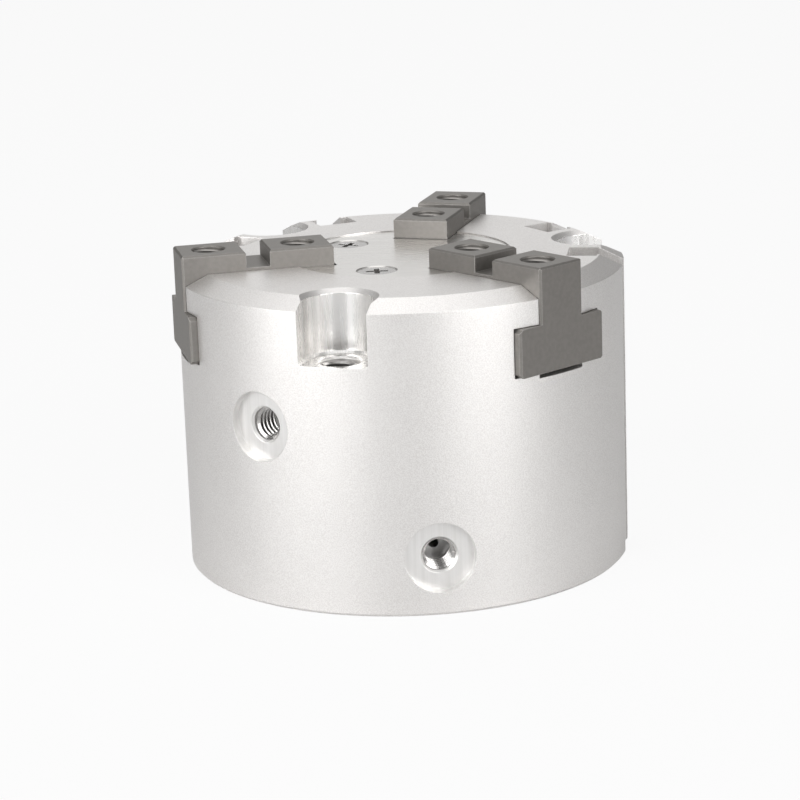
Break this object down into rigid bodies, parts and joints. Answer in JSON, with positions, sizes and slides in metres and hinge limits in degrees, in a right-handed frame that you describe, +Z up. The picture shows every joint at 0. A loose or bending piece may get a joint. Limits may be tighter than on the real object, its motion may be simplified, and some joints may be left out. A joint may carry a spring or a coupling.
{
  "type": "three jaw centric gripper",
  "caption": "Round pneumatic centric gripper with T-slot jaws that slide in and out together, driven by a piston and a wedge cam.",
  "frame": {"origin": "centre of the body's flat underside, where it meets the axis of the cylinder", "axes": "+Z up along the cylinder axis towards the jaws; +Y along jaw 1; the screw-head seat without switch grooves lies towards -Y"},
  "size_m": [0.07, 0.0701, 0.0511],
  "materials": {
    "body": "bead-blasted and clear anodised, turned chamfer and seats",
    "cover_plate": "bright, finely scratched",
    "screws": "bright steel",
    "jaws": "dark grey, satin",
    "wedge_cam": "hardened and ground",
    "piston": "turned",
    "seals": "matte",
    "guide_band": "matte",
    "magnet_ring": "plastic-bonded magnet",
    "rod_bush": "sintered bronze",
    "cylinder_cap": "turned, clear anodised",
    "retaining_ring": "phosphated spring steel"
  },
  "bodies": {
    "housing": {"body": "body", "cover_plate": "cover_plate", "cover_screw_1": "screws", "cover_screw_2": "screws", "cover_screw_3": "screws", "rod_bush": "rod_bush", "rod_seal": "seals", "cylinder_cap": "cylinder_cap", "cap_seal": "seals", "retaining_ring": "retaining_ring"},
    "drive": {"piston": "piston", "upper_piston_seal": "seals", "lower_piston_seal": "seals", "guide_band": "guide_band", "magnet_ring": "magnet_ring", "upper_buffer": "seals", "lower_buffer": "seals", "wedge_cam": "wedge_cam", "cam_screw": "screws"},
    "finger_1": {"jaw_1": "jaws"},
    "finger_2": {"jaw_2": "jaws"},
    "finger_3": {"jaw_3": "jaws"}
  },
  "joints": [
    {"name": "drive_slide", "type": "slide", "parent": "housing", "child": "drive", "axis": [0, 0, 1], "range_m": [0, 0.005]},
    {"name": "jaw_1_slide", "type": "slide", "parent": "housing", "child": "finger_1", "axis": [0, 1, 0], "range_m": [0, 0.005]},
    {"name": "jaw_2_slide", "type": "slide", "parent": "housing", "child": "finger_2", "axis": [-0.866, -0.5, 0], "range_m": [0, 0.005]},
    {"name": "jaw_3_slide", "type": "slide", "parent": "housing", "child": "finger_3", "axis": [0.866, -0.5, 0], "range_m": [0, 0.005]}
  ],
  "couplings": [
    {"joint": "jaw_1_slide", "follows": "drive_slide", "ratio": 1},
    {"joint": "jaw_2_slide", "follows": "drive_slide", "ratio": 1},
    {"joint": "jaw_3_slide", "follows": "drive_slide", "ratio": 1}
  ]
}
